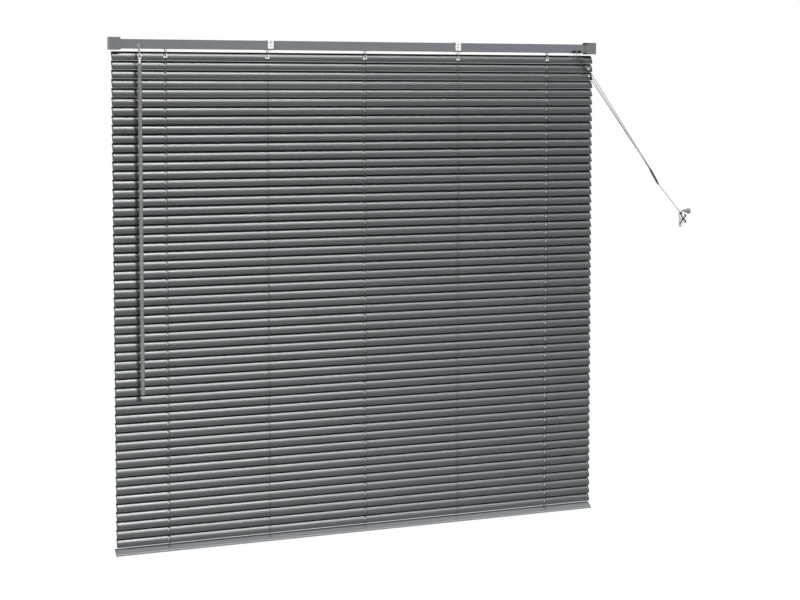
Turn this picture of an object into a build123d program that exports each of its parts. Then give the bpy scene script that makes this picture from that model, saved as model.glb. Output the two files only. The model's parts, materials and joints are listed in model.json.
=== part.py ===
from build123d import *
import math
import os

os.makedirs("parts", exist_ok=True)

# Millimetres. X runs to the right, the room is at -Y, the wall is the plane y = 0.
# The origin is the centre of the wall screw pattern of the two end brackets.

slat_count = 55
slat_length = 1316.0
slat_width = 25.0
slat_crown = 2.0
slat_thickness = 0.35
slat_pitch = 22.4
slat_tilt = 62.0
route_width = 3.6
route_length = 7.2

slat_corner = 3.0
ladder_inset = 137.0
string_thickness = 1.0
rung_thickness = 0.8
cord_r = 0.7
cord_side = -2.5

rail_over = 2.0
rail_half = slat_length / 2 + rail_over
ladder_x = [share * (rail_half - ladder_inset) for share in (-1.0, -0.5, 0.0, 0.5, 1.0)]
lift_x = [ladder_x[0], ladder_x[2], ladder_x[4]]
rail_depth = 25.0
rail_height = 23.0
rail_wall = 0.8
rail_lip = 3.0
rail_back = -2.0
first_slat_z = -29.3

bracket_wall = 1.0
bracket_width = 27.0
bracket_depth = 29.0
bracket_top = 16.5
bracket_bottom = -14.5
cap_flange = 2.0
side_gap = 1.0
knuckle_r = 1.5
hinge_pin_r = 0.7
wall_hole_r = 2.2
wall_hole_z = 5.0

rod_side = 4.2
rod_z = 1.8
drum_r = 6.1
drum_flange_r = 7.5
drum_length = 15.0
journal_r = 3.0

tilter_inset = 67.0
tilter_x = tilter_inset - rail_half
stem_angle = 60.0
stem_r = 2.6
worm_core_r = 1.8
gear_teeth = 16
gear_tip_r = 5.7
gear_root_r = 4.4
worm_offset = 8.0
stem_hole_at = 37.0
wand_flats = 8.6
wand_length = 815.0

lock_inset = 54.0
lock_x = rail_half - lock_inset
pull_exit_x = [lock_x + 4.0, lock_x - 4.5, lock_x - 12.5]
pull_exit_y = -23.5
pull_exit_z = -6.6
lane_y = [-9.9, -11.7, -13.5]
connector_top = (835.0, -26.0, -328.0)
connector_bottom = (863.5, -26.0, -373.5)
cleat_x = 949.2
cleat_z = -472.4
winding_top = (cleat_x - 6.2, -18.6, cleat_z + 13.2)
tail_r = 0.8
tail_bore_gap = 0.2
tail_seat = 2.0
tassel_top = (cleat_x + 5.0, -16.4, cleat_z + 22.2)
tassel_dir = (0.995, 0.0, -0.1)

bottom_width = 25.0
bottom_thickness = 6.0
bottom_tilt = 26.0
bottom_drop = 23.9
bottom_half = slat_length / 2

rail_front = rail_back - rail_depth
rail_mid = rail_back - rail_depth / 2
rail_top = rail_height / 2
rail_floor = -rail_top + rail_wall
tilt = math.radians(slat_tilt)
string_in = slat_width / 2 * math.cos(tilt) + slat_thickness * math.sin(tilt) + 0.27
string_out = string_in + string_thickness
cord_y = rail_mid - (slat_crown - 0.05) * math.sin(tilt)
lane_z = -7.6
bracket_out = rail_half + cap_flange + side_gap + bracket_wall
last_slat_z = first_slat_z - (slat_count - 1) * slat_pitch
bottom_z = last_slat_z - bottom_drop
bottom_rad = math.radians(bottom_tilt)


def save(shape, name):
    export_step(shape, "parts/" + name + ".step")


def block(x0, x1, y0, y1, z0, z1):
    return Pos((x0 + x1) / 2, (y0 + y1) / 2, (z0 + z1) / 2) * Box(x1 - x0, y1 - y0, z1 - z0)


def rod(start, end, r):
    a = Vector(*start)
    b = Vector(*end)
    return extrude(Plane(origin=a, z_dir=b - a) * Circle(r), (b - a).length)


def along(start, end, share):
    return tuple(a + (b - a) * share for a, b in zip(start, end))


def side_plane(x):
    return Plane(origin=(x, 0, 0), x_dir=(0, 1, 0), z_dir=(1, 0, 0))


def profile_x(points, x0, x1):
    face = make_face(Polyline(*points, close=True))
    return extrude(side_plane(x0) * face, x1 - x0)


def flat_y(points, y0, y1):
    face = make_face(Polyline(*points, close=True))
    plane = Plane(origin=(0, y1, 0), x_dir=(1, 0, 0), z_dir=(0, -1, 0))
    return extrude(plane * face, y1 - y0)


def mirror_x(shape):
    return mirror(shape, about=Plane.YZ)


# Headrail: channel with inward lips, open at the top.
outline = [
    (rail_front, -rail_top),
    (rail_back, -rail_top),
    (rail_back, rail_top),
    (rail_back - rail_lip, rail_top),
    (rail_back - rail_lip, rail_top - rail_wall),
    (rail_back - rail_wall, rail_top - rail_wall),
    (rail_back - rail_wall, rail_floor),
    (rail_front + rail_wall, rail_floor),
    (rail_front + rail_wall, rail_top - rail_wall),
    (rail_front + rail_lip, rail_top - rail_wall),
    (rail_front + rail_lip, rail_top),
    (rail_front, rail_top),
]
headrail = profile_x(outline, -rail_half, rail_half)

cradle_hole_x = 7.0
cradle_hole_y = 9.0
for x in ladder_x:
    headrail -= block(
        x - cradle_hole_x,
        x + cradle_hole_x,
        rail_mid - cradle_hole_y,
        rail_mid + cradle_hole_y,
        -rail_top - 1,
        rail_floor + 1,
    )

stem_rad = math.radians(stem_angle)
stem_dir = (0.0, -math.cos(stem_rad), -math.sin(stem_rad))
worm_mid = (
    tilter_x,
    rail_mid - worm_offset * math.sin(stem_rad),
    rod_z + worm_offset * math.cos(stem_rad),
)


def stem_point(t):
    return tuple(p + d * t for p, d in zip(worm_mid, stem_dir))


headrail -= rod(stem_point(5), stem_point(24), stem_r + 0.8)
notch_left = lock_x - 16.5
notch_right = lock_x + 15.0
notch_back = -14.0
notch_top = -4.0
headrail -= block(notch_left, notch_right, rail_front - 1, notch_back, -rail_top - 1, notch_top)
save(headrail, "headrail")

# End caps: flange over the rail's end and a plug inside it.
flange_out = 2.0
cap_z = rail_top + flange_out
cap = block(rail_half, rail_half + cap_flange, rail_front, rail_back, -cap_z, cap_z)
cap += block(
    rail_half - 9,
    rail_half,
    rail_front + rail_wall,
    rail_back - rail_wall,
    rail_floor,
    rail_top - rail_wall,
)
cap -= block(
    rail_half - 10,
    rail_half - 0.5,
    rail_front + rail_wall + 1.4,
    rail_back - rail_wall - 1.4,
    rail_floor + 1.4,
    rail_top - rail_wall - 1.4,
)
save(cap, "headrail_end_cap_r")
save(mirror_x(cap), "headrail_end_cap_l")

# End bracket: one folded sheet with two rolled knuckles at its top front edge.
inner_x = bracket_out - bracket_width
side_x = bracket_out - bracket_wall
hinge_y = -bracket_depth + knuckle_r
hinge_z = bracket_top - knuckle_r
front_y = -bracket_depth + bracket_wall
plate_front = hinge_y + knuckle_r + 0.2
knuckle_w = 6.5
bracket = block(inner_x, bracket_out, -bracket_wall, 0, bracket_bottom, bracket_top)
bracket += block(side_x, bracket_out, front_y, 0, bracket_bottom, hinge_z - knuckle_r - 0.2)
bracket += block(side_x, bracket_out, plate_front, 0, bracket_bottom, bracket_top)
bracket += block(inner_x, bracket_out, front_y, 0, bracket_bottom, bracket_bottom + bracket_wall)
bracket += block(inner_x, bracket_out, plate_front, 0, bracket_top - bracket_wall, bracket_top)
knuckle_a = inner_x
knuckle_d = bracket_out
for x0, x1 in [(knuckle_a, knuckle_a + knuckle_w), (knuckle_d - knuckle_w, knuckle_d)]:
    bracket += rod((x0, hinge_y, hinge_z), (x1, hinge_y, hinge_z), knuckle_r)
    bracket += block(x0, x1, hinge_y, plate_front, bracket_top - bracket_wall, bracket_top)
bracket -= rod((inner_x - 1, hinge_y, hinge_z), (bracket_out + 1, hinge_y, hinge_z), hinge_pin_r)
screw_x = bracket_out - bracket_width / 2
for z in [-wall_hole_z, wall_hole_z]:
    bracket -= rod((screw_x, 1, z), (screw_x, -bracket_wall - 1, z), wall_hole_r)
bracket -= rod(
    (screw_x, rail_mid, bracket_top + 1), (screw_x, rail_mid, bracket_top - bracket_wall - 1), wall_hole_r
)
save(bracket, "bracket_r")
save(mirror_x(bracket), "bracket_l")

# Door of the bracket: front plate with chamfered inner corners and one knuckle.
door_w = 26.0
tongue = 6.5
door_in = bracket_out - door_w
door_top = hinge_z - knuckle_r - 0.2
door = flat_y(
    [
        (bracket_out, bracket_bottom),
        (bracket_out, door_top),
        (door_in, door_top),
        (door_in - 2.0, rail_top),
        (door_in - tongue, rail_top - 1.0),
        (door_in - tongue, -rail_top + 1.0),
        (door_in - 3.0, -rail_top),
        (door_in, bracket_bottom),
    ],
    -bracket_depth,
    front_y,
)
mid_a = knuckle_a + knuckle_w + 0.25
mid_b = knuckle_d - knuckle_w - 0.25
door += rod((mid_a, hinge_y, hinge_z), (mid_b, hinge_y, hinge_z), knuckle_r)
door += block(mid_a, mid_b, -bracket_depth, front_y, door_top - 1, hinge_z)
door -= rod((mid_a - 1, hinge_y, hinge_z), (mid_b + 1, hinge_y, hinge_z), hinge_pin_r + 0.12)
save(door, "bracket_door_r")
save(mirror_x(door), "bracket_door_l")

pin = rod((knuckle_a, hinge_y, hinge_z), (knuckle_d, hinge_y, hinge_z), hinge_pin_r)
save(pin, "door_pin_r")
save(mirror_x(pin), "door_pin_l")

# Middle supports: white clips that hook over the rail and screw to the wall.
support_x = 256.5
support_w = 15.0
support_t = 1.6
support_bottom = -8.5
support_top = rail_top + support_t
support_eye_r = 1.8
support_screw_z = -3.0
for name, x in [("mid_support_l", -support_x), ("mid_support_r", support_x)]:
    x0 = x - support_w / 2
    x1 = x + support_w / 2
    clip = block(x0, x1, rail_front - support_t, rail_front, support_bottom, support_top)
    clip += block(x0, x1, rail_front, -support_t, rail_top, support_top)
    clip += block(x0, x1, -support_t, 0, support_bottom, support_top)
    clip -= block(x - 2.8, x + 2.8, rail_front - 3, rail_front - 0.7, -5.5, 10.0)
    for z in [-1.5, 6.0]:
        clip -= rod((x, rail_front - 4, z), (x, rail_front + 1, z), support_eye_r)
    clip -= rod((x, 1, support_screw_z), (x, -support_t - 1, support_screw_z), wall_hole_r)
    save(clip, name)

# Slats: one node of separate solids, each a shallow arch with three routed holes.
half = slat_width / 2
end_in = (half, slat_thickness)
end_out = (-half, slat_thickness)
section = make_face(
    [
        ThreePointArc((-half, 0), (0, slat_crown), (half, 0)),
        Line((half, 0), end_in),
        ThreePointArc(end_in, (0, slat_crown + slat_thickness), end_out),
        Line(end_out, (-half, 0)),
    ]
)
slat = extrude(section, slat_length / 2, both=True)
plan = Rectangle(slat_width, slat_length)
plan = chamfer(plan.vertices(), slat_corner)
slat = slat & extrude(Plane.XZ * plan, slat_width, both=True)
for x in lift_x:
    hole = Box(route_length, 12, route_width)
    slat -= Pos(0, 0, -(x + cord_side)) * hole


def slat_place(z):
    return Plane(
        origin=(0, rail_mid, z),
        x_dir=(0, -math.cos(tilt), -math.sin(tilt)),
        z_dir=(-1, 0, 0),
    )


slats = [
    slat_place(first_slat_z - k * slat_pitch).location * slat for k in range(slat_count)
]
save(Compound(children=slats), "slats")

# Bottom rail: rounded hollow bar, tilted forward.
bottom_plane = Plane(
    origin=(-bottom_half, rail_mid, bottom_z),
    x_dir=(0, math.cos(bottom_rad), math.sin(bottom_rad)),
    z_dir=(1, 0, 0),
)
bottom_outer = extrude(
    bottom_plane * RectangleRounded(bottom_width, bottom_thickness, 2.0), 2 * bottom_half
)
bottom_inner = extrude(
    bottom_plane * RectangleRounded(bottom_width - 1.6, bottom_thickness - 1.6, 1.2),
    2 * bottom_half,
)
bottom_rail = bottom_outer - bottom_inner


def bottom_local(x, u, v):
    c = math.cos(bottom_rad)
    s = math.sin(bottom_rad)
    return (x, rail_mid + u * c - v * s, bottom_z + u * s + v * c)


button_hole_r = 3.0
for x in ladder_x:
    bottom_rail -= rod(bottom_local(x, 0, -1), bottom_local(x, 0, -5), button_hole_r)
for x in lift_x:
    bottom_rail -= rod(
        (x + cord_side, cord_y, bottom_z), (x + cord_side, cord_y, bottom_z + 8), cord_r + 0.5
    )
save(bottom_rail, "bottom_rail")

cap_plane = Plane(
    origin=(bottom_half, rail_mid, bottom_z),
    x_dir=(0, math.cos(bottom_rad), math.sin(bottom_rad)),
    z_dir=(1, 0, 0),
)
bottom_cap = extrude(cap_plane * RectangleRounded(bottom_width + 1, bottom_thickness + 1, 2.5), 2.0)
bottom_cap += extrude(
    cap_plane * RectangleRounded(bottom_width - 1.6, bottom_thickness - 1.6, 1.2), -7.0
)
save(bottom_cap, "bottom_rail_cap_r")
save(mirror_x(bottom_cap), "bottom_rail_cap_l")

button_depth = bottom_thickness / 2
button_gap = 0.15
for i, x in enumerate(ladder_x):
    button = rod(
        bottom_local(x, 0, -button_depth - 1.2), bottom_local(x, 0, -button_depth), 5.0
    )
    button += rod(
        bottom_local(x, 0, -button_depth), bottom_local(x, 0, -0.6), button_hole_r - button_gap
    )
    save(button, "ladder_button_" + str(i + 1))

# Ladders: front and rear strings joined over the drum, one rung under each slat.
slope = math.tan(tilt)
rung_drop = rung_thickness / math.cos(tilt)


def ladder_face():
    low = bottom_z - 4.0
    f_in = rail_mid - string_in
    f_out = rail_mid - string_out
    r_in = rail_mid + string_in
    r_out = rail_mid + string_out
    rise = string_in * slope
    last = last_slat_z - rung_drop
    outer = [
        Line((f_out, low), (f_out, rod_z)),
        ThreePointArc((f_out, rod_z), (rail_mid, rod_z + string_out), (r_out, rod_z)),
        Line((r_out, rod_z), (r_out, low)),
        Line((r_out, low), (r_in, low)),
        Line((r_in, low), (r_in, last + rise)),
        Line((r_in, last + rise), (f_in, last - rise)),
        Line((f_in, last - rise), (f_in, low)),
        Line((f_in, low), (f_out, low)),
    ]
    top = [
        Line((f_in, first_slat_z - rise), (f_in, rod_z)),
        ThreePointArc((f_in, rod_z), (rail_mid, rod_z + string_in), (r_in, rod_z)),
        Line((r_in, rod_z), (r_in, first_slat_z + rise)),
        Line((r_in, first_slat_z + rise), (f_in, first_slat_z - rise)),
    ]
    inner = [Wire(top)]
    for k in range(slat_count - 1):
        z = first_slat_z - k * slat_pitch
        a = z - rung_drop
        b = z - slat_pitch
        corners = [(f_in, a - rise), (r_in, a + rise), (r_in, b + rise), (f_in, b - rise)]
        inner.append(Wire(Polyline(*corners, close=True).edges()))
    return Face(Wire(outer), inner)


lattice = extrude(side_plane(0) * ladder_face(), string_thickness / 2, both=True)
for i, x in enumerate(ladder_x):
    save(Pos(x, 0, 0) * lattice - bottom_outer, "ladder_" + str(i + 1))

# Small clips that hold the top slat beside each ladder.
clip_t = 1.1
top_v = slat_crown + slat_thickness
clip_side = [
    (-half - 1.3, -1.2),
    (-half + 1.5, -1.2),
    (-half + 1.5, -0.4),
    (-half - 0.3, -0.4),
    (-half - 0.3, top_v),
    (6.4, top_v),
    (6.4, top_v + clip_t),
    (-half - 1.3, top_v + clip_t),
]
clip_bar = extrude(make_face(Polyline(*clip_side, close=True)), 2.0)
clip_foot = Pos(5.2, top_v + clip_t / 2, 4.5) * Box(2.4, clip_t, 9.0)
clip_dot = Pos(4.6, top_v, 8.0) * Rot(-90, 0, 0) * extrude(Circle(2.0), clip_t + 0.5)
slat_clip = clip_bar + clip_foot + clip_dot
for i, x in enumerate(ladder_x):
    place = slat_place(first_slat_z)
    place = Plane(origin=(x + 3.2, rail_mid, first_slat_z), x_dir=place.x_dir, z_dir=place.z_dir)
    save(place.location * slat_clip, "slat_clip_" + str(i + 1))

# Cradles: base on the rail's floor, spigot through it, two cheeks that carry the rod.
cheek_x = 8.5
cheek_t = 1.5
base_top = rail_floor + 1.8
for i, x in enumerate(ladder_x):
    cradle = block(x - 11, x + 11, rail_mid - 11.2, rail_mid + 11.2, rail_floor, base_top)
    cradle += block(x - 6.8, x + 6.8, rail_mid - 8.8, rail_mid + 8.8, -rail_top - 1.0, rail_floor)
    for c in [x - cheek_x, x + cheek_x]:
        cradle += block(c - cheek_t / 2, c + cheek_t / 2, rail_mid - 7, rail_mid + 7, base_top, 4.0)
        cradle -= block(c - 2, c + 2, rail_mid - 4.5, rail_mid + 6.0, base_top, base_top + 3.3)
        cradle -= block(c - 2, c + 2, rail_mid - 3.2, rail_mid + 3.2, rod_z, 5.0)
        cradle -= rod((c - 2, rail_mid, rod_z), (c + 2, rail_mid, rod_z), journal_r + 0.2)
    mid_string = (string_in + string_out) / 2
    for y in [rail_mid - mid_string, rail_mid + mid_string]:
        cradle -= block(x - 1.2, x + 1.2, y - 1.1, y + 1.1, -rail_top - 2, base_top + 1)
    cx = x + cord_side
    cradle -= block(cx - 1.2, cx + 1.9, cord_y - 1.5, cord_y + 1.5, -rail_top - 2, base_top + 1)
    save(cradle, "cradle_" + str(i + 1))

# Tilt rod with its five drums.
rod_start = tilter_x - 13.0
rod_end = ladder_x[-1] + 12.0
tilt_rod = block(
    rod_start,
    rod_end,
    rail_mid - rod_side / 2,
    rail_mid + rod_side / 2,
    rod_z - rod_side / 2,
    rod_z + rod_side / 2,
)


def disc(x0, x1, r):
    return rod((x0, rail_mid, rod_z), (x1, rail_mid, rod_z), r)


for x in ladder_x:
    end = drum_length / 2
    tilt_rod += disc(x - 10, x + 10, journal_r)
    tilt_rod += disc(x - end, x + end, drum_r)
    tilt_rod += disc(x - end, x - end + 1.2, drum_flange_r)
    tilt_rod += disc(x + end - 1.2, x + end, drum_flange_r)
save(tilt_rod, "tilt_rod")

# Tilter: housing, gear on the rod, worm stem through the front of the rail.
house_l = tilter_x - 16
house_r = tilter_x + 16
housing = block(house_l, house_r, rail_front + 1.0, rail_back - 1.0, rail_floor, 10.0)
housing -= block(house_l + 2, house_r - 2, rail_front + 2.6, rail_back - 2.6, rail_floor + 1.6, 11.0)
housing -= disc(house_l - 1, house_r + 1, journal_r + 0.25)
housing -= rod(stem_point(3), stem_point(24), stem_r + 0.25)
save(housing, "tilter_housing")

tooth_points = []
for k in range(gear_teeth):
    base = 2 * math.pi * k / gear_teeth
    step = 2 * math.pi / gear_teeth
    for share, r in [(0.0, gear_root_r), (0.22, gear_root_r), (0.4, gear_tip_r), (0.82, gear_tip_r)]:
        a = base + share * step
        tooth_points.append((rail_mid + r * math.cos(a), rod_z + r * math.sin(a)))
gear = profile_x(tooth_points, tilter_x - 3, tilter_x + 3)
gear += disc(house_l - 0.5, house_r + 0.5, journal_r)
gear -= block(
    rod_start,
    house_r + 2,
    rail_mid - rod_side / 2,
    rail_mid + rod_side / 2,
    rod_z - rod_side / 2,
    rod_z + rod_side / 2,
)
save(gear, "tilt_gear")

flat_start = 31.5
stem = rod(stem_point(-4), stem_point(4.8), worm_core_r)
stem += rod(stem_point(4.8), stem_point(flat_start), stem_r)
flat_plane = Plane(origin=worm_mid, x_dir=stem_dir, z_dir=(1, 0, 0))
blade = Pos((flat_start + stem_hole_at) / 2, 0) * Rectangle(stem_hole_at - flat_start, 2 * stem_r)
blade += Pos(stem_hole_at, 0) * Circle(stem_r)
blade -= Pos(stem_hole_at, 0) * Circle(1.6)
stem += extrude(flat_plane * blade, 1.0, both=True)
save(stem, "worm_stem")

# Wand: hook through the stem's eye, six-sided wand, end cap.
eye = stem_point(stem_hole_at)
wand_x = eye[0]
wand_y = eye[1]
wand_top = eye[2] - 22.0
ring_half = 3.6
ring_drop = 9.0
link_half = 0.65
link_out = Pos(wand_x, eye[2] - ring_drop / 2, 0) * RectangleRounded(
    2 * (ring_half + link_half), ring_drop + 2 * link_half, 1.6
)
link_in = Pos(wand_x, eye[2] - ring_drop / 2, 0) * RectangleRounded(
    2 * (ring_half - link_half), ring_drop - 2 * link_half, 0.6
)
link_plane = Plane(origin=(0, wand_y, 0), x_dir=(1, 0, 0), z_dir=(0, -1, 0))
hook = extrude(link_plane * (link_out - link_in), link_half, both=True)
neck_top = eye[2] - ring_drop
hook += rod((wand_x, wand_y, wand_top), (wand_x, wand_y, neck_top), 2.2)
hook += rod((wand_x, wand_y, wand_top - 8), (wand_x, wand_y, wand_top), 1.6)
save(hook, "wand_hook")

wand_plane = Plane(origin=(wand_x, wand_y, wand_top - wand_length))
corner_r = wand_flats / math.sqrt(3)
wand = extrude(wand_plane * RegularPolygon(corner_r, 6), wand_length)
wand -= rod((wand_x, wand_y, wand_top - 10), (wand_x, wand_y, wand_top + 1), 1.6)
save(wand, "wand")
tip_low = wand_top - wand_length - 2.0
tip = rod((wand_x, wand_y, tip_low), (wand_x, wand_y, tip_low + 12.0), corner_r + 0.6)
tip -= extrude(wand_plane * RegularPolygon(corner_r, 6), 20.0)
save(tip, "wand_end_cap")

# Cord lock: body with a snout in the rail's notch, locking roller, guide pulley.
lock_cheek = 6.0
lock_l = notch_left - lock_cheek - 0.5
lock_r = notch_right + lock_cheek
lock_front = rail_front + 1.0
lock_back = rail_back - 3.0
lock_wall = 2.0
lock = block(lock_l, lock_r, lock_front, lock_back, rail_floor, 9.5)
lock -= block(
    lock_l - 1,
    lock_r - lock_wall,
    lock_front + lock_wall,
    lock_back - lock_wall,
    rail_floor + lock_wall,
    11.0,
)
snout_top = notch_top - 0.3
lock += block(
    notch_left + 0.3,
    notch_right - 0.3,
    rail_front + 0.2,
    notch_back - 0.3,
    -rail_top - 1.0,
    snout_top,
)
rib_l = lock_x - 1.5
rib_r = lock_x + 1.5
pocket_l = notch_left + 1.5
pocket_r = notch_right - 1.5
pocket_top = snout_top - 1.2
pocket_y = rail_front + 2.0
lock -= block(pocket_l, pocket_r, pocket_y, -17.0, -rail_top - 2, pocket_top)
lock -= block(pocket_l, rib_l, rail_front - 1, pocket_y, -rail_top - 2, pocket_top)
lock -= block(rib_r, pocket_r, rail_front - 1, pocket_y, -rail_top - 2, pocket_top)
for x in pull_exit_x:
    lock -= block(x - 6.5, x + 1.6, pull_exit_y - 1.5, -18.0, pocket_top - 1, 0.0)

roller_x = notch_left + 1.0
roller_z = 5.9
roller_r = 2.0
roller_pin_r = 1.0
roller_rise = 1.2
roller_run = 4.0
pin_gap = 0.2
for t in [0.0, 0.25, 0.5, 0.75, 1.0]:
    x = roller_x + roller_run * t
    z = roller_z + roller_rise * t
    lock -= rod((x, lock_front - 1, z), (x, lock_back + 1, z), roller_pin_r + pin_gap)
pulley_x = notch_left - 2.7
pulley_z = -1.2
pulley_r = 2.0
lock -= rod(
    (pulley_x, lock_front - 1, pulley_z), (pulley_x, lock_back + 1, pulley_z), roller_pin_r + pin_gap
)
save(lock, "cord_lock_body")


def cross_roller(x, z, r):
    inner_a = lock_front + lock_wall + 0.3
    inner_b = lock_back - lock_wall - 0.3
    shape = rod((x, inner_a, z), (x, inner_b, z), r)
    return shape + rod((x, lock_front + 0.4, z), (x, lock_back - 0.4, z), roller_pin_r)


save(cross_roller(roller_x, roller_z, roller_r), "lock_roller")
save(cross_roller(pulley_x, pulley_z, pulley_r), "guide_pulley")


# Cords: straight runs joined by tangent arcs.
def tube(points, r, bend):
    radii = []
    for i in range(1, len(points) - 1):
        a = Vector(*points[i]) - Vector(*points[i - 1])
        b = Vector(*points[i + 1]) - Vector(*points[i])
        half_turn = math.radians(a.get_angle(b)) / 2
        most = 0.45 * min(a.length, b.length) / math.tan(half_turn)
        radii.append(min(bend, most))
    path = FilletPolyline(*points, radius=radii)
    start = Vector(*points[0])
    plane = Plane(origin=start, z_dir=Vector(*points[1]) - start)
    return sweep(plane * Circle(r), path=path)


for i, x in enumerate(lift_x):
    cx = x + cord_side
    route = [
        (cx, cord_y, bottom_z - 0.8),
        (cx, cord_y, lane_z),
        (lock_x - 61.0, lane_y[i], lane_z),
        (lock_x - 18.0, lane_y[i], 2.6),
        (pull_exit_x[i], pull_exit_y, pull_exit_z + 0.9),
    ]
    save(tube(route, cord_r, 3.0), "lift_cord_" + str(i + 1))

# Pull cords: taut from the lock to the connector, one cord from there to the cleat.
run = Vector(*connector_bottom) - Vector(*connector_top)
run_x = run.X / run.length
run_z = run.Z / run.length
offsets = [(1.05, 0.0), (-0.55, 0.95), (-0.55, -0.95)]
for i in range(3):
    side, deep = offsets[i]
    start = (pull_exit_x[i], pull_exit_y, pull_exit_z)
    end = (
        connector_top[0] - run_z * side + 2.5 * run_x,
        connector_top[1] + deep,
        connector_top[2] + run_x * side + 2.5 * run_z,
    )
    save(rod(start, end, cord_r), "pull_cord_" + str(i + 1))
    if i != 1:
        share = 0.141 if i == 0 else 0.2
        bead = rod(along(start, end, share), along(start, end, share + 0.0125), 3.2)
        bead -= rod(along(start, end, share - 0.01), along(start, end, share + 0.03), cord_r + 0.15)
        save(bead, "cord_bead_" + str(1 if i == 0 else 2))

connector = rod(connector_top, connector_bottom, 2.4)
connector += rod(
    along(connector_top, connector_bottom, 0.12), along(connector_top, connector_bottom, 0.88), 3.2
)
connector -= rod(connector_top, along(connector_top, connector_bottom, 0.12), 2.1)
connector -= rod(along(connector_top, connector_bottom, 0.9), connector_bottom, 1.4)
save(connector, "cord_connector")

# Wall cleat, the cord wound on it, and the tassel.
cleat_side = [
    (0, -24),
    (-2.5, -24),
    (-3.5, -10),
    (-9.5, -10),
    (-12, -24.5),
    (-15, -24),
    (-16.5, -8),
    (-16.5, 8),
    (-15, 24),
    (-12, 24.5),
    (-9.5, 10),
    (-3.5, 10),
    (-2.5, 24),
    (0, 24),
]
cleat_w = 4.0
cleat_hole_r = 2.0
cleat_hole_z = 5.0
cleat = profile_x([(y, z + cleat_z) for y, z in cleat_side], cleat_x - cleat_w, cleat_x + cleat_w)
for z in [cleat_z - cleat_hole_z, cleat_z + cleat_hole_z]:
    cleat -= rod((cleat_x, 1, z), (cleat_x, -20, z), cleat_hole_r)
save(cleat, "cord_cleat")

lobe = [(5, 16), (8.5, 12), (8.5, 6), (6.4, 0), (8.5, -6), (8.5, -12), (5, -16)]
eight = [(cleat_x + x, cleat_z + z) for x, z in lobe]
eight += [(cleat_x - x, cleat_z + z) for x, z in reversed(lobe)]
winding = flat_y(eight, -20.5, -3.8)
clear = cleat_w + 0.4
winding -= block(cleat_x - clear, cleat_x + clear, -16.8, -9.1, cleat_z - 30, cleat_z + 30)
winding -= block(cleat_x - clear, cleat_x + clear, -9.3, 1, cleat_z - 10.4, cleat_z + 10.4)
tail_start = (cleat_x - 4.5, -18.2, cleat_z + 14.5)
tail_bend = tuple(p - 7.5 * d for p, d in zip(tassel_top, tassel_dir))
tail_end = tuple(p + tail_seat * d for p, d in zip(tassel_top, tassel_dir))
winding += rod(tail_start, tail_bend, tail_r)
winding += Pos(*tail_bend) * Sphere(tail_r)
winding += rod(tail_bend, tail_end, tail_r)
save(winding, "cord_winding")
start = along(connector_top, connector_bottom, 0.96)
save(rod(start, winding_top, cord_r) - winding, "pull_cord_main")

tassel_bore_r = tail_r + tail_bore_gap
tassel_points = [
    (tassel_bore_r, 0),
    (3.8, 0),
    (5.0, -4.0),
    (7.4, -11.0),
    (7.4, -15.5),
    (6.2, -15.5),
    (5.0, -9.0),
    (tassel_bore_r, -6.0),
]
tassel_face = make_face(Plane.XZ * Polyline(*tassel_points, close=True))
tassel = revolve(tassel_face, axis=Axis.Z)
tassel_plane = Plane(origin=tassel_top, z_dir=tuple(-v for v in tassel_dir))
save(tassel_plane.location * tassel, "cord_tassel")
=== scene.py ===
import json
import math
import random

import bmesh
import bpy
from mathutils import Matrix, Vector


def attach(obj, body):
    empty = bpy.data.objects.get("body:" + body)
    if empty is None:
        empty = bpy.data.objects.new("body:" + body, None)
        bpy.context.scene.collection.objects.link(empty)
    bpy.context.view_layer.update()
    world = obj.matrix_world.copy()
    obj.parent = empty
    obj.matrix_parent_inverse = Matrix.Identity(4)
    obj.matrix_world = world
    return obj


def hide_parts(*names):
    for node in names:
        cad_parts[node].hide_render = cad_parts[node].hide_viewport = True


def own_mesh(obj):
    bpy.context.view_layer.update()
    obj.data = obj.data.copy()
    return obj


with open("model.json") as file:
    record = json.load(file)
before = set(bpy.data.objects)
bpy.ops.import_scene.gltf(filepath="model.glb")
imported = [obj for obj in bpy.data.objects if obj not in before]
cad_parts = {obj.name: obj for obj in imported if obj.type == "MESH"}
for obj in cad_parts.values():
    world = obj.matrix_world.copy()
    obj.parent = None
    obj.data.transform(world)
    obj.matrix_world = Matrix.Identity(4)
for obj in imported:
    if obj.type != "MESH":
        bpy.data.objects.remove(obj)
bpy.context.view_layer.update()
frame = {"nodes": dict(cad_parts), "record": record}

# Metres, in the part's own frame: X to the right, the room at -Y, the wall is the plane y = 0.

nodes = frame["nodes"]
random.seed(7)

slat_count = 55
slat_half = 0.658
slat_width = 0.025
slat_crown = 0.002
slat_sheet = 0.00024
slat_corner = 0.003
slat_pitch = 0.0224
slat_tilt = math.radians(62.0)
slat_wobble = math.radians(0.22)
first_slat_z = -0.0293
slot_half = 0.0036
slot_r = 0.0018

rail_mid = -0.0145
rail_under = -0.0115
rod_z = 0.0018
bottom_z = -1.2628
ladder_x = [-0.523, -0.2615, 0.0, 0.2615, 0.523]
lift_x = [-0.523, 0.0, 0.523]
cord_side = -0.0025
cord_r = 0.0007
string_r = 0.0005
string_out = 0.00695
thread_r = 0.00022

lane_y = [-0.0099, -0.0117, -0.0135]
lane_z = -0.0076
pull_exit_x = [0.610, 0.6015, 0.5935]
pull_exit_y = -0.0235
pull_exit_z = -0.0066
connector_top = Vector((0.835, -0.026, -0.328))
connector_bottom = Vector((0.8635, -0.026, -0.3735))
cleat_x = 0.9492
cleat_z = -0.4724
tassel_top = Vector((0.9542, -0.0164, -0.4502))
tassel_dir = Vector((0.995, 0.0, -0.1)).normalized()

worm_mid = Vector((-0.593, -0.021428, 0.0058))
stem_dir = Vector((0.0, -0.5, -0.8660254))
worm_core_r = 0.0018
worm_pitch = 0.0022

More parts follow.
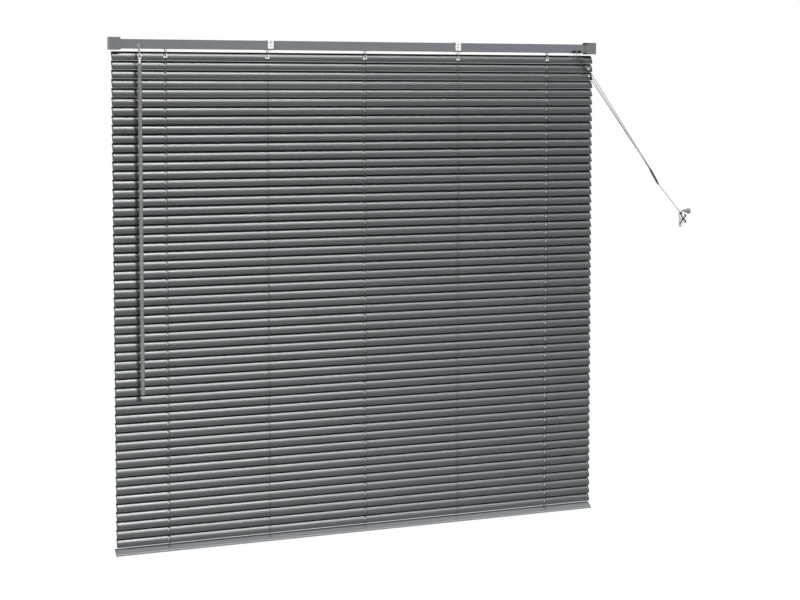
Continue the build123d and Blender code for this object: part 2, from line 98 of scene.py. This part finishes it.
# How far the slats' shading normal leans down, and between which heights.
# Fitted to the photo's highlight.
lean_top = -0.23
lean_bottom = -0.09
lean_top_z = -0.03
lean_bottom_z = -1.24

# Painted shade: the main cord is painted nearly black right of this place and below this height,
# where it is wound.
painted_shade_from_x = cleat_x - 0.0088
painted_shade_below_z = cleat_z + 0.0155

cord_y = rail_mid - (slat_crown - 0.00005) * math.sin(slat_tilt)


# Materials

def node(tree, kind, **inputs):
    made = tree.nodes.new(kind)
    for name, value in inputs.items():
        made.inputs[name.replace("_", " ")].default_value = value
    return made


def surface(name, colour, rough, metal=0.0, **sockets):
    material = bpy.data.materials.new(name)
    material.use_nodes = True
    shader = material.node_tree.nodes["Principled BSDF"]
    shader.inputs["Base Color"].default_value = (*colour, 1.0)
    shader.inputs["Roughness"].default_value = rough
    shader.inputs["Metallic"].default_value = metal
    for key, value in sockets.items():
        shader.inputs[key.replace("_", " ")].default_value = value
    return material


def grain(tree, scale, detail=3.0, stretch=(1.0, 1.0, 1.0)):
    where = node(tree, "ShaderNodeTexCoord")
    mapping = node(tree, "ShaderNodeMapping", Scale=stretch)
    pattern = node(tree, "ShaderNodeTexNoise", Scale=scale, Detail=detail)
    tree.links.new(where.outputs["Object"], mapping.inputs["Vector"])
    tree.links.new(mapping.outputs["Vector"], pattern.inputs["Vector"])
    return pattern.outputs["Fac"]


def stripes(tree, scale, direction, distortion=0.0):
    where = node(tree, "ShaderNodeTexCoord")
    pattern = node(tree, "ShaderNodeTexWave", Scale=scale, Distortion=distortion)
    pattern.bands_direction = direction
    tree.links.new(where.outputs["Object"], pattern.inputs["Vector"])
    return pattern.outputs["Fac"]


def spread(tree, factor, low, high):
    """The middle of a pattern's range, drawn out to the whole of low to high."""
    ranged = node(tree, "ShaderNodeMapRange", To_Min=low, To_Max=high)
    ranged.inputs["From Min"].default_value = 0.3
    ranged.inputs["From Max"].default_value = 0.7
    tree.links.new(factor, ranged.inputs["Value"])
    return ranged.outputs["Result"]


def vary_colour(material, factor, dark, light):
    tree = material.node_tree
    shader = tree.nodes["Principled BSDF"]
    mix = tree.nodes.new("ShaderNodeMix")
    mix.data_type = "RGBA"
    base = shader.inputs["Base Color"].default_value
    mix.inputs[6].default_value = (*[c * dark for c in base[:3]], 1.0)
    mix.inputs[7].default_value = (*[c * light for c in base[:3]], 1.0)
    tree.links.new(spread(tree, factor, 0.0, 1.0), mix.inputs[0])
    tree.links.new(mix.outputs[2], shader.inputs["Base Color"])


def vary_roughness(material, factor, low, high):
    tree = material.node_tree
    shader = tree.nodes["Principled BSDF"]
    tree.links.new(spread(tree, factor, low, high), shader.inputs["Roughness"])


def emboss(material, factor, strength, distance):
    tree = material.node_tree
    shader = tree.nodes["Principled BSDF"]
    relief = node(tree, "ShaderNodeBump", Strength=strength, Distance=distance)
    tree.links.new(factor, relief.inputs["Height"])
    tree.links.new(relief.outputs["Normal"], shader.inputs["Normal"])


def painted(name, colour, rough, mottle=0.12):
    material = surface(name, colour, rough, Coat_Weight=0.15, Coat_Roughness=0.25)
    tree = material.node_tree
    vary_colour(material, grain(tree, 260.0, 4.0), 1.0 - mottle, 1.0 + mottle)
    vary_roughness(material, grain(tree, 90.0, 2.0), rough - 0.06, rough + 0.08)
    emboss(material, grain(tree, 1400.0, 2.0), 0.25, 0.00006)
    return material


def moulded(name, colour, rough, **sockets):
    material = surface(name, colour, rough, **sockets)
    tree = material.node_tree
    vary_colour(material, grain(tree, 120.0), 0.94, 1.04)
    vary_roughness(material, grain(tree, 400.0), rough - 0.05, rough + 0.06)
    emboss(material, grain(tree, 2200.0, 2.0), 0.12, 0.00004)
    return material


def braided(name, colour, across):
    material = surface(name, colour, 0.85, Specular_IOR_Level=0.15)
    tree = material.node_tree
    strands = stripes(tree, across, "DIAGONAL", 1.5)
    vary_colour(material, strands, 0.72, 1.18)
    emboss(material, strands, 0.7, 0.0002)
    return material


def brushed(name, colour, rough, stretch):
    material = surface(name, colour, rough, 1.0)
    tree = material.node_tree
    lines = grain(tree, 700.0, 5.0, stretch)
    vary_colour(material, lines, 0.88, 1.08)
    vary_roughness(material, lines, rough - 0.08, rough + 0.1)
    emboss(material, lines, 0.15, 0.00003)
    return material


def lacquered_slats():
    """Dark satin lacquer whose shading normal leans down, more at the top of the blind."""
    material = surface("slat_lacquer", (0.06, 0.066, 0.07), 0.3, Specular_IOR_Level=0.25)
    tree = material.node_tree
    vary_colour(material, grain(tree, 6.0, 3.0, (1.0, 1.0, 9.0)), 0.94, 1.07)
    vary_roughness(material, grain(tree, 30.0, 3.0, (0.15, 1.0, 1.0)), 0.28, 0.32)
    emboss(material, grain(tree, 1100.0, 2.0), 0.03, 0.00004)
    shader = tree.nodes["Principled BSDF"]
    relief = shader.inputs["Normal"].links[0].from_socket
    where = node(tree, "ShaderNodeTexCoord")
    height = tree.nodes.new("ShaderNodeSeparateXYZ")
    lean = node(tree, "ShaderNodeMapRange", To_Min=lean_top, To_Max=lean_bottom)
    lean.inputs["From Min"].default_value = lean_top_z
    lean.inputs["From Max"].default_value = lean_bottom_z
    down = tree.nodes.new("ShaderNodeCombineXYZ")
    leaned = tree.nodes.new("ShaderNodeVectorMath")
    leaned.operation = "ADD"
    unit = tree.nodes.new("ShaderNodeVectorMath")
    unit.operation = "NORMALIZE"
    tree.links.new(where.outputs["Object"], height.inputs["Vector"])
    tree.links.new(height.outputs["Z"], lean.inputs["Value"])
    tree.links.new(lean.outputs["Result"], down.inputs["Z"])
    tree.links.new(relief, leaned.inputs[0])
    tree.links.new(down.outputs["Vector"], leaned.inputs[1])
    tree.links.new(leaned.outputs["Vector"], unit.inputs[0])
    tree.links.new(unit.outputs["Vector"], shader.inputs["Normal"])
    return material


def cord_with_painted_shade():
    """Dark grey braid on the straight run and at the tassel, with painted shade, nearly black,
    where it is wound.
    """
    material = braided("main_cord", (0.02, 0.021, 0.022), 800.0)
    tree = material.node_tree
    shader = tree.nodes["Principled BSDF"]
    plain = shader.inputs["Base Color"].links[0].from_socket
    where = node(tree, "ShaderNodeTexCoord")
    place = tree.nodes.new("ShaderNodeSeparateXYZ")
    tree.links.new(where.outputs["Object"], place.inputs["Vector"])
    inside = tree.nodes.new("ShaderNodeMath")
    inside.operation = "GREATER_THAN"
    inside.inputs[1].default_value = painted_shade_from_x
    under = tree.nodes.new("ShaderNodeMath")
    under.operation = "LESS_THAN"
    under.inputs[1].default_value = painted_shade_below_z
    both = tree.nodes.new("ShaderNodeMath")
    both.operation = "MULTIPLY"
    # Painted shade: where the cord is wound, its colour is mixed to nearly black.
    mix = tree.nodes.new("ShaderNodeMix")
    mix.data_type = "RGBA"
    mix.inputs[7].default_value = (0.005, 0.005, 0.006, 1.0)
    tree.links.new(place.outputs["X"], inside.inputs[0])
    tree.links.new(place.outputs["Z"], under.inputs[0])
    tree.links.new(inside.outputs[0], both.inputs[0])
    tree.links.new(under.outputs[0], both.inputs[1])
    tree.links.new(both.outputs[0], mix.inputs[0])
    tree.links.new(plain, mix.inputs[6])
    tree.links.new(mix.outputs[2], shader.inputs["Base Color"])
    return material


slat_finish = lacquered_slats()
rail_paint = painted("rail_paint", (0.125, 0.136, 0.148), 0.42, 0.05)
bracket_paint = painted("bracket_paint", (0.112, 0.121, 0.127), 0.45, 0.16)
bottom_paint = painted("bottom_paint", (0.19, 0.206, 0.218), 0.4, 0.05)
grey_plastic = moulded("grey_plastic", (0.16, 0.17, 0.178), 0.5)
white_plastic = moulded("white_plastic", (0.82, 0.83, 0.83), 0.42)
cleat_plastic = moulded("cleat_plastic", (0.86, 0.86, 0.86), 0.3)
button_plastic = moulded("button_plastic", (0.25, 0.26, 0.27), 0.5)
hook_plastic = moulded("hook_plastic", (0.84, 0.85, 0.85), 0.25)
stem_plastic = moulded("stem_plastic", (0.28, 0.29, 0.3), 0.35)
connector_plastic = moulded("connector_plastic", (0.045, 0.047, 0.05), 0.45)
tassel_plastic = moulded("tassel_plastic", (0.17, 0.18, 0.185), 0.38)
lock_plastic = moulded("lock_plastic", (0.13, 0.145, 0.12), 0.45)
gear_plastic = moulded("gear_plastic", (0.72, 0.71, 0.66), 0.4)
clear_plastic = moulded(
    "clear_plastic", (0.86, 0.88, 0.88), 0.12, Transmission_Weight=0.55, IOR=1.45
)
wand_plastic = moulded(
    "wand_plastic", (0.25, 0.258, 0.262), 0.24, Transmission_Weight=0.25, IOR=1.45
)
steel = brushed("steel", (0.62, 0.62, 0.63), 0.32, (0.05, 1.0, 1.0))
brass = brushed("brass", (0.62, 0.56, 0.36), 0.35, (1.0, 0.1, 1.0))
ladder_cord = braided("ladder_cord", (0.06, 0.063, 0.066), 900.0)
lift_cord = braided("lift_cord", (0.2, 0.205, 0.205), 800.0)
pull_cord = braided("pull_cord", (0.02, 0.021, 0.022), 800.0)
main_cord_painted_shade = cord_with_painted_shade()
winding_cord = braided("winding_cord", (0.028, 0.029, 0.03), 800.0)

slot_finish = {
    "rail_paint": rail_paint,
    "bracket_paint": bracket_paint,
    "slat_aluminium": slat_finish,
    "bottom_paint": bottom_paint,
    "grey_plastic": grey_plastic,
    "white_plastic": white_plastic,
    "cleat_plastic": cleat_plastic,
    "button_plastic": button_plastic,
    "clear_plastic": clear_plastic,
    "wand_plastic": wand_plastic,
    "hook_plastic": hook_plastic,
    "stem_plastic": stem_plastic,
    "connector_plastic": connector_plastic,
    "tassel_plastic": tassel_plastic,
    "lock_plastic": lock_plastic,
    "gear_plastic": gear_plastic,
    "steel": steel,
    "brass": brass,
    "ladder_cord": ladder_cord,
    "lift_cord": lift_cord,
    "pull_cord": pull_cord,
    "winding_cord": winding_cord,
}
for subpart in frame["record"]["subparts"]:
    materials = nodes[subpart["node"]].data.materials
    materials.clear()
    materials.append(slot_finish[subpart["material_slot"]])


# Building helpers

def mesh_piece(name, bm, material, slot_name, body, *replaced):
    data = bpy.data.meshes.new(name)
    bmesh.ops.recalc_face_normals(bm, faces=bm.faces)
    bm.to_mesh(data)
    bm.free()
    data.materials.append(material)
    piece = bpy.data.objects.new(name, data)
    bpy.context.scene.collection.objects.link(piece)
    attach(piece, body)
    if replaced:
        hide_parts(*replaced)
    return piece


def tube(bm, points, r, sides=8):
    rings = []
    side = None
    for i, point in enumerate(points):
        ahead = points[min(i + 1, len(points) - 1)] - points[max(i - 1, 0)]
        ahead.normalize()
        if side is None:
            side = ahead.orthogonal().normalized()
        side = (side - ahead * side.dot(ahead)).normalized()
        up = ahead.cross(side)
        ring = []
        for k in range(sides):
            angle = 2 * math.pi * k / sides
            ring.append(bm.verts.new(point + (side * math.cos(angle) + up * math.sin(angle)) * r))
        rings.append(ring)
    for low, high in zip(rings, rings[1:]):
        for k in range(sides):
            after = (k + 1) % sides
            bm.faces.new((low[k], low[after], high[after], high[k])).smooth = True
    bm.faces.new(rings[0][::-1])
    bm.faces.new(rings[-1])


def nurbs(name, points, r, material, slot_name, body, *replaced):
    data = bpy.data.curves.new(name, "CURVE")
    data.dimensions = "3D"
    data.bevel_depth = r
    data.bevel_resolution = 3
    data.use_fill_caps = True
    data.resolution_u = 8
    spline = data.splines.new("NURBS")
    spline.points.add(len(points) - 1)
    for target, point in zip(spline.points, points):
        target.co = (*point, 1.0)
    spline.order_u = 3
    spline.use_endpoint_u = True
    data.materials.append(material)
    piece = bpy.data.objects.new(name, data)
    bpy.context.scene.collection.objects.link(piece)
    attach(piece, body)
    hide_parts(*replaced)
    return piece


# Slats: thin arched sheets with rounded corners and routed slots

arch_r = ((slat_width / 2) ** 2 + slat_crown ** 2) / (2 * slat_crown)


def arch(u):
    return math.sqrt(arch_r ** 2 - u ** 2) - (arch_r - slat_crown)


def slat_tilts():
    return [slat_tilt + random.gauss(0.0, 1.0) * slat_wobble for _ in range(slat_count)]


tilts = slat_tilts()


def on_slat(k, x, u, v):
    c = math.cos(tilts[k])
    s = math.sin(tilts[k])
    return Vector((x, rail_mid - u * c - v * s, first_slat_z - k * slat_pitch - u * s + v * c))


def stadium(angle):
    """Distance from the slot's centre to its edge, the slot's length along u."""
    dx = abs(math.cos(angle))
    du = abs(math.sin(angle))
    straight = slot_half - slot_r
    if dx > 1e-9 and slot_r / dx * du <= straight:
        return slot_r / dx
    b = straight * du
    return b + math.sqrt(b * b - straight ** 2 + slot_r ** 2)


across = 12
longest_step = 0.25
edge_u = [slat_width / 2 * math.sin(math.pi / 2 * (2 * j / across - 1)) for j in range(across + 1)]


def end_reach(u):
    inset = abs(u) - (slat_width / 2 - slat_corner)
    if inset <= 0:
        return slat_half
    return slat_half - slat_corner + math.sqrt(max(slat_corner ** 2 - inset ** 2, 0.0))


def slat_columns():
    """Plan of one slat: the plain spans along x, and the patches round the slots between them."""
    patch = 0.0045
    stops = []
    for x in lift_x:
        stops.append((x + cord_side - patch, x + cord_side + patch))
    spans = []
    start = -slat_half
    for low, high in stops:
        spans.append((start, low))
        start = high
    spans.append((start, slat_half))
    return spans, stops


def slat_sheet_mesh(bm, k):
    spans, stops = slat_columns()
    seam = {}

    def column(x, outer):
        made = []
        for u in edge_u:
            place = math.copysign(end_reach(u), x) if outer else x
            made.append(bm.verts.new(on_slat(k, place, u, arch(u))))
        return made

    for low, high in spans:
        inner_low = low + slat_corner if low == -slat_half else low
        inner_high = high - slat_corner if high == slat_half else high
        columns = []
        if low == -slat_half:
            columns.append(column(low, True))
        steps = max(2, int((high - low) / longest_step))
        for i in range(steps + 1):
            x = inner_low + (inner_high - inner_low) * i / steps
            columns.append(column(x, False))
        if high == slat_half:
            columns.append(column(high, True))
        if low != -slat_half:
            seam[low] = columns[0]
        if high != slat_half:
            seam[high] = columns[-1]
        for a, b in zip(columns, columns[1:]):
            for j in range(across):
                bm.faces.new((a[j], b[j], b[j + 1], a[j + 1])).smooth = True

    rings = 3
    for low, high in stops:
        centre = (low + high) / 2
        border = [(low, u, seam[low][j]) for j, u in enumerate(edge_u)][::-1]
        bottom = [low + (high - low) * i / 4 for i in (1, 2, 3)]
        border += [(x, edge_u[0], None) for x in bottom]
        border += [(high, u, seam[high][j]) for j, u in enumerate(edge_u)]
        border += [(x, edge_u[-1], None) for x in reversed(bottom)]
        loops = [[]]
        for x, u, vertex in border:
            loops[0].append(vertex or bm.verts.new(on_slat(k, x, u, arch(u))))
        for ring in range(1, rings + 1):
            share = ring / rings
            loop = []
            for x, u, _ in border:
                angle = math.atan2(u, x - centre)
                reach = stadium(angle)
                px = x + (centre + reach * math.cos(angle) - x) * share
                pu = u + (reach * math.sin(angle) - u) * share
                loop.append(bm.verts.new(on_slat(k, px, pu, arch(pu))))
            loops.append(loop)
        count = len(border)
        for a, b in zip(loops, loops[1:]):
            for i in range(count):
                after = (i + 1) % count
                bm.faces.new((a[i], a[after], b[after], b[i])).smooth = True


def make_slats():
    bm = bmesh.new()
    for k in range(slat_count):
        slat_sheet_mesh(bm, k)
    piece = mesh_piece("slat_set", bm, slat_finish, "slat_aluminium", "frame", "slats")
    solid = piece.modifiers.new("sheet", "SOLIDIFY")
    solid.thickness = slat_sheet
    solid.offset = 0.0
    solid.use_even_offset = True
    finished = bpy.data.meshes.new_from_object(
        piece.evaluated_get(bpy.context.evaluated_depsgraph_get())
    )
    piece.modifiers.clear()
    piece.data = finished
    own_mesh(piece)


make_slats()


# Ladders: two braided strings, with two threads under each slat

loop_steps = 12
thread_apart = 0.0009
thread_under = 0.0005
string_end_z = bottom_z - 0.002


def ladder_top(x):
    points = [Vector((x, rail_mid - string_out, rail_under))]
    for i in range(loop_steps + 1):
        angle = math.pi * i / loop_steps
        y = rail_mid - string_out * math.cos(angle)
        points.append(Vector((x, y, rod_z + string_out * math.sin(angle))))
    points.append(Vector((x, rail_mid + string_out, rail_under)))
    return points


def string_run(x, y):
    steps = slat_count * 2
    return [
        Vector((x, y, rail_under + (string_end_z - rail_under) * i / steps))
        for i in range(steps + 1)
    ]


for i, x in enumerate(ladder_x):
    name = "ladder_" + str(i + 1)
    bm = bmesh.new()
    tube(bm, ladder_top(x), string_r)
    mesh_piece(name + "_loop", bm, ladder_cord, "ladder_cord", "frame", name)
    bm = bmesh.new()
    for side in (-1, 1):
        tube(bm, string_run(x, rail_mid + side * string_out), string_r)
    for k in range(slat_count):
        for offset in (-thread_apart, thread_apart):
            reach = string_out / math.cos(tilts[k])
            ends = []
            for share in (-1.0, -0.6, 0.0, 0.6, 1.0):
                along = x + offset * (1 - abs(share) ** 4)
                ends.append(on_slat(k, along, share * reach, -thread_under))
            tube(bm, ends, thread_r, 5)
    piece = mesh_piece(name + "_strings", bm, ladder_cord, "ladder_cord", "frame", name)
    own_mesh(piece)


# Lift cords: through the slats, up into the rail and along it to the lock

cord_end_z = bottom_z - 0.0008
lane_end_x = 0.545
lock_in_x = 0.588
lock_in_z = 0.0026

for i, x in enumerate(lift_x):
    name = "lift_cord_" + str(i + 1)
    cx = x + cord_side
    bm = bmesh.new()
    low = Vector((cx, cord_y, cord_end_z))
    high = Vector((cx, cord_y, rail_under))
    steps = slat_count
    tube(bm, [low.lerp(high, n / steps) for n in range(steps + 1)], cord_r)
    piece = mesh_piece(name + "_drop", bm, lift_cord, "lift_cord", "frame", name)
    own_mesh(piece)
    route = [
        (cx, cord_y, rail_under),
        (cx, cord_y, lane_z - 0.002),
        (cx + 0.0012, cord_y + 0.0005, lane_z),
        (lane_end_x, lane_y[i], lane_z),
        (lock_in_x, lane_y[i], lock_in_z),
        (pull_exit_x[i], pull_exit_y, pull_exit_z + 0.0009),
    ]
    nurbs(name + "_lane", route, cord_r, lift_cord, "lift_cord", "frame", name)


# Pull cords: taut to the connector, then one cord to the cleat, wound on it

run = (connector_bottom - connector_top).normalized()
across_run = Vector((-run.z, 0.0, run.x))
connector_places = [(0.00105, 0.0), (-0.00055, 0.00095), (-0.00055, -0.00095)]
into_connector = 0.0025
straight_ends = 6


def taut(start, end, diameter):
    """A straight line with a control point some diameters inside each end."""
    ahead = (end - start).normalized() * straight_ends * diameter
    return [start, start + ahead, end - ahead, end]


for i, (side, deep) in enumerate(connector_places):
    start = Vector((pull_exit_x[i], pull_exit_y, pull_exit_z))
    end = connector_top + across_run * side + Vector((0, deep, 0)) + run * into_connector
    name = "pull_cord_" + str(i + 1)
    route = taut(start, end, 2 * cord_r)
    cord = nurbs(name + "_line", route, cord_r, pull_cord, "pull_cord", "frame", name)

main_start = connector_top.lerp(connector_bottom, 0.96)
main_end = Vector((cleat_x - 0.0062, -0.0186, cleat_z + 0.0132))
turns = 4
turn_points = 24
first_point = 5
loop_half = 0.0056
loop_height = 0.0123
turn_growth = 0.0005
turn_rise = 0.0009
cross_gap = 0.0011
loop_fullness = 0.6
dive_from = 0.75
horn_back_y = -0.0070
cross_front_y = -0.0176


def winding_points():
    """Figure of eight round the two horns, each turn a little outside the last."""
    made = []
    total = turns * turn_points
    for i in range(first_point, total + 2):
        turn = i / turn_points
        angle = 2 * math.pi * turn
        grow = turn * turn_growth
        z = (loop_height + grow) * math.cos(angle)
        swing = math.sin(2 * angle)
        x = -(loop_half + grow) * math.copysign(abs(swing) ** loop_fullness, swing)
        dive = min(max((abs(math.cos(angle)) - dive_from) / (1.0 - dive_from), 0.0), 1.0)
        depth = dive * dive * (3.0 - 2.0 * dive)
        front = cross_front_y - turn * turn_rise - (cross_gap if math.sin(angle) > 0 else 0.0)
        y = front + (horn_back_y - front) * depth
        made.append(Vector((cleat_x + x, y, cleat_z + z)))
    return made


def tail_points():
    """From behind the upper horn, up in front of it and into the tassel."""
    return [
        Vector((cleat_x - 0.0072, -0.013, cleat_z + 0.0135)),
        Vector((cleat_x - 0.0045, -0.0182, cleat_z + 0.0145)),
        Vector((cleat_x - 0.0044, -0.0176, cleat_z + 0.0195)),
        tassel_top - tassel_dir * 0.0075,
        tassel_top - tassel_dir * 0.003,
        tassel_top + tassel_dir * 0.002,
    ]


main_route = taut(main_start, main_end, 2 * cord_r) + winding_points() + tail_points()
main_cord = nurbs(
    "pull_cord_main_line", main_route, cord_r, main_cord_painted_shade, "pull_cord", "frame",
    "pull_cord_main", "cord_winding",
)
plain = main_cord.data.copy()
plain.bevel_depth = 0.0
probe = bpy.data.objects.new("probe", plain)
centre_line = bpy.data.meshes.new_from_object(probe)
bpy.data.objects.remove(probe)


# Worm thread on the stem, seen in the open rail

bm = bmesh.new()
side_a = Vector((1.0, 0.0, 0.0))
side_b = stem_dir.cross(side_a)
helix = []
thread_turns = 2.4
thread_steps = 64
thread_lift = 0.00005
thread_edge_r = 0.00035
for i in range(thread_steps + 1):
    share = i / thread_steps
    angle = 2 * math.pi * thread_turns * share
    middle = worm_mid + stem_dir * worm_pitch * thread_turns * (share - 0.5)
    outward = side_a * math.cos(angle) + side_b * math.sin(angle)
    helix.append(middle + outward * (worm_core_r + thread_lift))
tube(bm, helix, thread_edge_r, 6)
mesh_piece("worm_thread", bm, gear_plastic, "gear_plastic", "worm")


# Camera, floor, lamps and world

camera_pitch = 3.653
camera_turn = 20.907
camera_data = bpy.data.cameras.new("camera")
camera_data.lens = 72.0
camera_data.sensor_width = 36.0
camera_data.shift_y = -0.13
camera_data.clip_start = 0.05
camera = bpy.data.objects.new("camera", camera_data)
camera.location = (-1.3976, -3.9277, -0.1222)
camera.rotation_euler = (math.radians(90.0 - camera_pitch), 0.0, math.radians(-camera_turn))
bpy.context.scene.collection.objects.link(camera)
bpy.context.scene.camera = camera


def camera_white(tree, shaded, background=False):
    """White to the camera, to gloss and through clear plastic; shaded for all other light."""
    paths = node(tree, "ShaderNodeLightPath")
    first = tree.nodes.new("ShaderNodeMath")
    first.operation = "MAXIMUM"
    tree.links.new(paths.outputs["Is Camera Ray"], first.inputs[0])
    tree.links.new(paths.outputs["Is Glossy Ray"], first.inputs[1])
    second = tree.nodes.new("ShaderNodeMath")
    second.operation = "MAXIMUM"
    tree.links.new(first.outputs[0], second.inputs[0])
    tree.links.new(paths.outputs["Is Transmission Ray"], second.inputs[1])
    kind = "ShaderNodeBackground" if background else "ShaderNodeEmission"
    white = node(tree, kind, Color=(1.0, 1.0, 1.0, 1.0), Strength=1.0)
    mix = tree.nodes.new("ShaderNodeMixShader")
    tree.links.new(second.outputs[0], mix.inputs[0])
    tree.links.new(shaded, mix.inputs[1])
    tree.links.new(white.outputs[0], mix.inputs[2])
    return mix.outputs[0]


floor_z = -2.1
bpy.ops.mesh.primitive_plane_add(size=16.0, location=(0, 0, floor_z))
floor = bpy.context.object
floor.name = "floor"
floor_material = surface("floor_paint", (0.9, 0.9, 0.9), 0.9)
floor_tree = floor_material.node_tree
floor_output = floor_tree.nodes["Material Output"]
floor_shader = floor_tree.nodes["Principled BSDF"]
floor_tree.links.new(
    camera_white(floor_tree, floor_shader.outputs["BSDF"]), floor_output.inputs["Surface"]
)
floor.data.materials.append(floor_material)

world = bpy.data.worlds.new("studio")
bpy.context.scene.world = world
world.use_nodes = True
world_tree = world.node_tree
ambient = world_tree.nodes["Background"]
ambient.inputs["Color"].default_value = (0.93, 0.97, 1.0, 1.0)
ambient.inputs["Strength"].default_value = 0.03
world_output = world_tree.nodes["World Output"]
world_tree.links.new(
    camera_white(world_tree, ambient.outputs["Background"], True), world_output.inputs["Surface"]
)


def sun(name, to_light, strength, angle):
    data = bpy.data.lights.new(name, "SUN")
    data.energy = strength
    data.angle = math.radians(angle)
    made = bpy.data.objects.new(name, data)
    made.location = to_light * 3.0
    made.rotation_mode = "QUATERNION"
    made.rotation_quaternion = (-to_light).to_track_quat("-Z", "Y")
    bpy.context.scene.collection.objects.link(made)
    return made


# Directions point from the blind to the lamp.
key_from = Vector((0.208, -0.978, 0.82)).normalized()
fill_from = Vector((-0.85, -0.3, 0.43)).normalized()
strip_height = math.radians(40.0)
strips = [(0.04, 1.6), (0.17, 2.2), (0.29, 1.1), (0.4, 0.35)]

# The key and the fill have no gloss, and the strips have nothing else: they are the lacquer's
# soft highlight.
sun("key", key_from, 2.8, 1.5).visible_glossy = False
sun("fill", fill_from, 1.3, 20.0).visible_glossy = False
for i, (sideways, strength) in enumerate(strips):
    level = math.sqrt(1.0 - sideways ** 2)
    toward = Vector((sideways, -level * math.cos(strip_height), level * math.sin(strip_height)))
    sun("strip_" + str(i + 1), toward, strength, 1.0).visible_diffuse = False

bpy.context.scene.view_settings.view_transform = "Standard"
